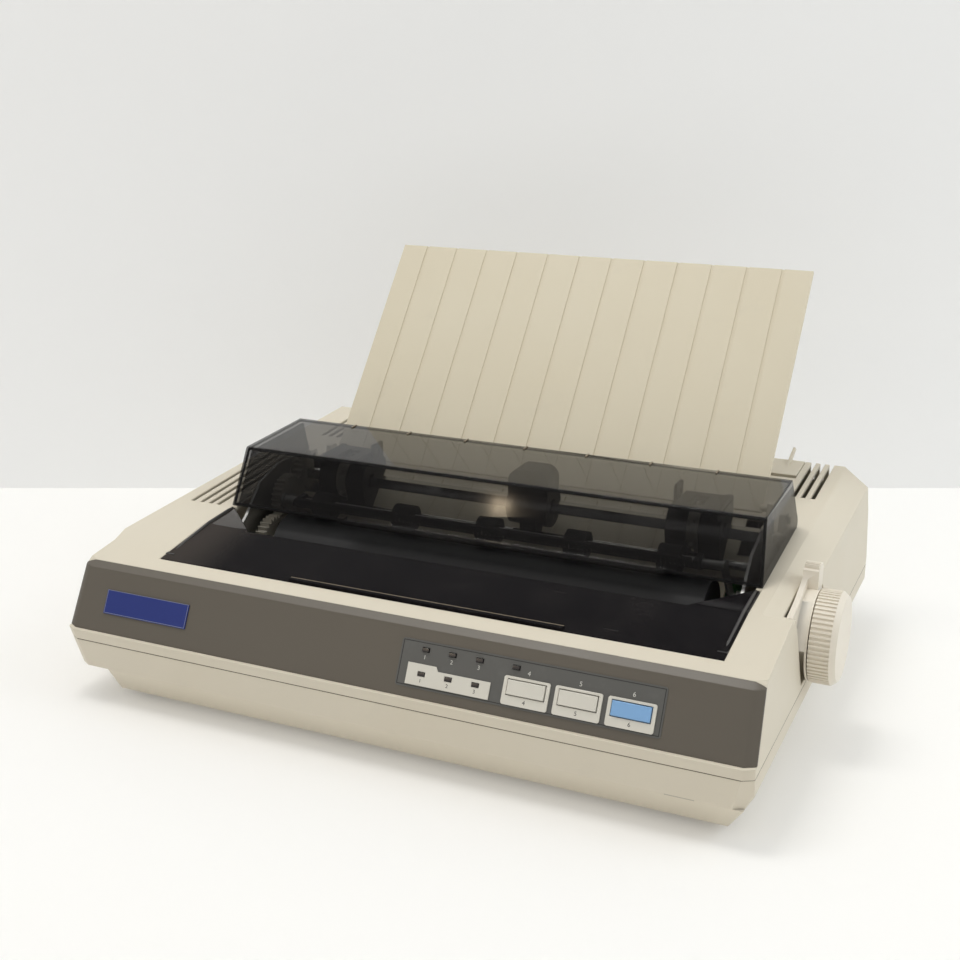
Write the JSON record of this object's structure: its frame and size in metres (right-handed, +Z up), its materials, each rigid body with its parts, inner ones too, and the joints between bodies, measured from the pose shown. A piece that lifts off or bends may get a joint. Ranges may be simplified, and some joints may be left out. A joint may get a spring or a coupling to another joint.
{
  "type": "dot matrix printer",
  "caption": "Desktop impact printer with hinged smoked covers, leaning paper guide, platen with knob, gear-driven tractor feed, sliding head carriage and pressable panel keys.",
  "frame": {"origin": "on the table, at the feet's underside, under the middle of the whole outline with the knob and the rear fins", "axes": "+X to the right seen from the front, along the platen; +Y to the back; +Z up"},
  "size_m": [0.3932, 0.299, 0.2127],
  "materials": {
    "case_plastic": "fine-grained moulded warm beige",
    "panel_plastic": "fine-grained taupe brown, slightly satin",
    "smoked_plastic": "dark smoked transparent acrylic, polished",
    "cover_plastic": "near-black polished smoked plastic, barely see-through",
    "guide_plastic": "smooth moulded cream plastic",
    "knob_plastic": "moulded beige plastic, satin face",
    "black_plastic": "matt black moulded plastic",
    "dark_label": "satin dark printed film, bare",
    "white_plastic": "satin white plastic",
    "blue_plastic": "satin light blue plastic",
    "badge_blue": "dark blue lacquer with a bright rim, bare",
    "lamp_plastic": "translucent diffusing lamp lens",
    "rubber": "matt black rubber",
    "platen_rubber": "ground hard black rubber",
    "steel": "bright zinc-plated sheet steel",
    "polished_steel": "ground and polished steel bar",
    "gear_plastic": "natural white moulded acetal",
    "tractor_plastic": "dark grey moulded plastic",
    "board": "green lacquered circuit board",
    "motor_metal": "black lacquered motor body",
    "core_metal": "varnished laminated core with wound coil",
    "belt_rubber": "black toothed belt",
    "aluminium": "finned cast aluminium"
  },
  "bodies": {
    "case": {"upper_case": "case_plastic", "lower_case": "case_plastic", "rubber_feet": "rubber", "case_screws": "steel", "front_panel": "panel_plastic", "control_plate": "dark_label", "led_plate": "white_plastic", "key_surrounds": "white_plastic", "badge_plate": "badge_blue", "status_leds": "lamp_plastic", "key_board": "board", "rear_paper_entry": "case_plastic", "base_frame": "steel", "left_side_frame": "steel", "right_side_frame": "steel", "platen_bushes": "gear_plastic", "carriage_rod": "polished_steel", "tractor_rail": "polished_steel", "line_feed_motor": "motor_metal", "carriage_motor": "motor_metal", "carriage_belt": "belt_rubber", "paper_pan": "steel", "paper_chute": "guide_plastic", "main_board": "board", "transformer": "core_metal", "rear_plate": "steel", "power_inlet": "black_plastic", "interface_connector": "steel"},
    "lid": {"front_cover": "cover_plastic"},
    "hood_cover": {"hood": "smoked_plastic"},
    "guide": {"paper_guide": "guide_plastic"},
    "platen": {"platen_roller": "platen_rubber", "platen_shaft": "polished_steel", "platen_gear": "gear_plastic", "platen_knob": "knob_plastic"},
    "idler": {"idler_gear": "gear_plastic"},
    "tractor_drive": {"tractor_drive_shaft": "polished_steel", "tractor_gear": "gear_plastic"},
    "pinion": {"motor_pinion": "gear_plastic"},
    "pressure_roll": {"pressure_rollers": "rubber"},
    "left_tractor": {"left_tractor_frame": "tractor_plastic"},
    "right_tractor": {"right_tractor_frame": "tractor_plastic"},
    "left_wheel": {"left_tractor_wheel": "gear_plastic"},
    "right_wheel": {"right_tractor_wheel": "gear_plastic"},
    "left_door": {"left_tractor_door": "tractor_plastic"},
    "right_door": {"right_tractor_door": "tractor_plastic"},
    "middle_support": {"center_support": "tractor_plastic"},
    "release_lever": {"paper_release_lever": "knob_plastic"},
    "bail": {"bail_arms": "steel", "bail_scale": "black_plastic"},
    "bail_roll": {"bail_rollers": "rubber"},
    "head_carriage": {"carriage": "black_plastic", "print_head": "aluminium", "ribbon_cartridge": "black_plastic"},
    "motor_pulley": {"drive_pulley": "gear_plastic"},
    "end_pulley": {"belt_idler_pulley": "gear_plastic"},
    "left_key": {"key_left": "white_plastic"},
    "middle_key": {"key_middle": "white_plastic"},
    "right_key": {"key_right": "blue_plastic"},
    "rocker": {"power_rocker": "black_plastic"}
  },
  "joints": [
    {"name": "lid_hinge", "type": "hinge", "parent": "case", "child": "lid", "pos_m": [0.0004, -0.0525, 0.0785], "axis": [-1, 0, 0], "range_deg": [0, 90]},
    {"name": "hood_hinge", "type": "hinge", "parent": "case", "child": "hood_cover", "pos_m": [0.0004, 0.0327, 0.0929], "axis": [-1, 0, 0], "range_deg": [0, 55]},
    {"name": "guide_hinge", "type": "hinge", "parent": "case", "child": "guide", "pos_m": [0.0004, 0.04195, 0.095], "axis": [-1, 0, 0], "range_deg": [0, 45]},
    {"name": "platen_turn", "type": "hinge", "parent": "case", "child": "platen", "pos_m": [0.0004, -0.0314, 0.0569], "axis": [1, 0, 0], "continuous": true},
    {"name": "idler_turn", "type": "hinge", "parent": "case", "child": "idler", "pos_m": [-0.1388, -0.0127, 0.08036], "axis": [1, 0, 0], "continuous": true},
    {"name": "tractor_turn", "type": "hinge", "parent": "case", "child": "tractor_drive", "pos_m": [0.0004, 0.0085, 0.0905], "axis": [1, 0, 0], "continuous": true},
    {"name": "pinion_turn", "type": "hinge", "parent": "case", "child": "pinion", "pos_m": [-0.1388, -0.03909, 0.03576], "axis": [1, 0, 0], "continuous": true},
    {"name": "pressure_turn", "type": "hinge", "parent": "case", "child": "pressure_roll", "pos_m": [0.0004, -0.0314, 0.0306], "axis": [1, 0, 0], "continuous": true},
    {"name": "left_tractor_slide", "type": "slide", "parent": "case", "child": "left_tractor", "axis": [1, 0, 0], "range_m": [-0.01, 0.055]},
    {"name": "right_tractor_slide", "type": "slide", "parent": "case", "child": "right_tractor", "axis": [1, 0, 0], "range_m": [-0.04, 0.01]},
    {"name": "left_wheel_turn", "type": "hinge", "parent": "left_tractor", "child": "left_wheel", "pos_m": [-0.1076, 0.0085, 0.0905], "axis": [1, 0, 0], "continuous": true},
    {"name": "right_wheel_turn", "type": "hinge", "parent": "right_tractor", "child": "right_wheel", "pos_m": [0.1084, 0.0085, 0.0905], "axis": [1, 0, 0], "continuous": true},
    {"name": "left_door_hinge", "type": "hinge", "parent": "left_tractor", "child": "left_door", "pos_m": [-0.121, 0.0085, 0.1045], "axis": [0, -1, 0], "range_deg": [0, 12]},
    {"name": "right_door_hinge", "type": "hinge", "parent": "right_tractor", "child": "right_door", "pos_m": [0.1218, 0.0085, 0.1045], "axis": [0, 1, 0], "range_deg": [0, 12]},
    {"name": "middle_support_slide", "type": "slide", "parent": "case", "child": "middle_support", "axis": [1, 0, 0], "range_m": [-0.018, 0.02]},
    {"name": "release_lever_hinge", "type": "hinge", "parent": "case", "child": "release_lever", "pos_m": [0.1732, -0.0314, 0.0569], "axis": [1, 0, 0], "range_deg": [0, 20]},
    {"name": "bail_hinge", "type": "hinge", "parent": "case", "child": "bail", "pos_m": [0.0004, -0.0075, 0.06], "axis": [-1, 0, 0], "range_deg": [0, 22]},
    {"name": "bail_roll_turn", "type": "hinge", "parent": "bail", "child": "bail_roll", "pos_m": [0.0004, -0.0265, 0.0842], "axis": [1, 0, 0], "continuous": true},
    {"name": "carriage_slide", "type": "slide", "parent": "case", "child": "head_carriage", "axis": [1, 0, 0], "range_m": [-0.022, 0.186]},
    {"name": "motor_pulley_turn", "type": "hinge", "parent": "case", "child": "motor_pulley", "pos_m": [-0.1268, -0.0895, 0.0355], "axis": [0, 0, 1], "continuous": true},
    {"name": "end_pulley_turn", "type": "hinge", "parent": "case", "child": "end_pulley", "pos_m": [0.1582, -0.0895, 0.0355], "axis": [0, 0, 1], "continuous": true},
    {"name": "left_key_press", "type": "slide", "parent": "case", "child": "left_key", "axis": [0, 0.8933, -0.4494], "range_m": [0, 0.0012], "stiffness_N_per_m": 400},
    {"name": "middle_key_press", "type": "slide", "parent": "case", "child": "middle_key", "axis": [0, 0.8933, -0.4494], "range_m": [0, 0.0012], "stiffness_N_per_m": 400},
    {"name": "right_key_press", "type": "slide", "parent": "case", "child": "right_key", "axis": [0, 0.8933, -0.4494], "range_m": [0, 0.0012], "stiffness_N_per_m": 400},
    {"name": "rocker_hinge", "type": "hinge", "parent": "case", "child": "rocker", "pos_m": [-0.1183, 0.1325, 0.052], "axis": [1, 0, 0], "range_deg": [0, 14]}
  ],
  "couplings": [
    {"joint": "idler_turn", "follows": "platen_turn", "ratio": -1.2222},
    {"joint": "tractor_turn", "follows": "platen_turn", "ratio": 1.65},
    {"joint": "pinion_turn", "follows": "platen_turn", "ratio": -2.75},
    {"joint": "pressure_turn", "follows": "platen_turn", "ratio": -3.3333},
    {"joint": "left_wheel_turn", "follows": "platen_turn", "ratio": 1.65},
    {"joint": "right_wheel_turn", "follows": "platen_turn", "ratio": 1.65},
    {"joint": "motor_pulley_turn", "follows": "carriage_slide", "rad_per_m": -140.85},
    {"joint": "end_pulley_turn", "follows": "carriage_slide", "rad_per_m": -140.85}
  ]
}
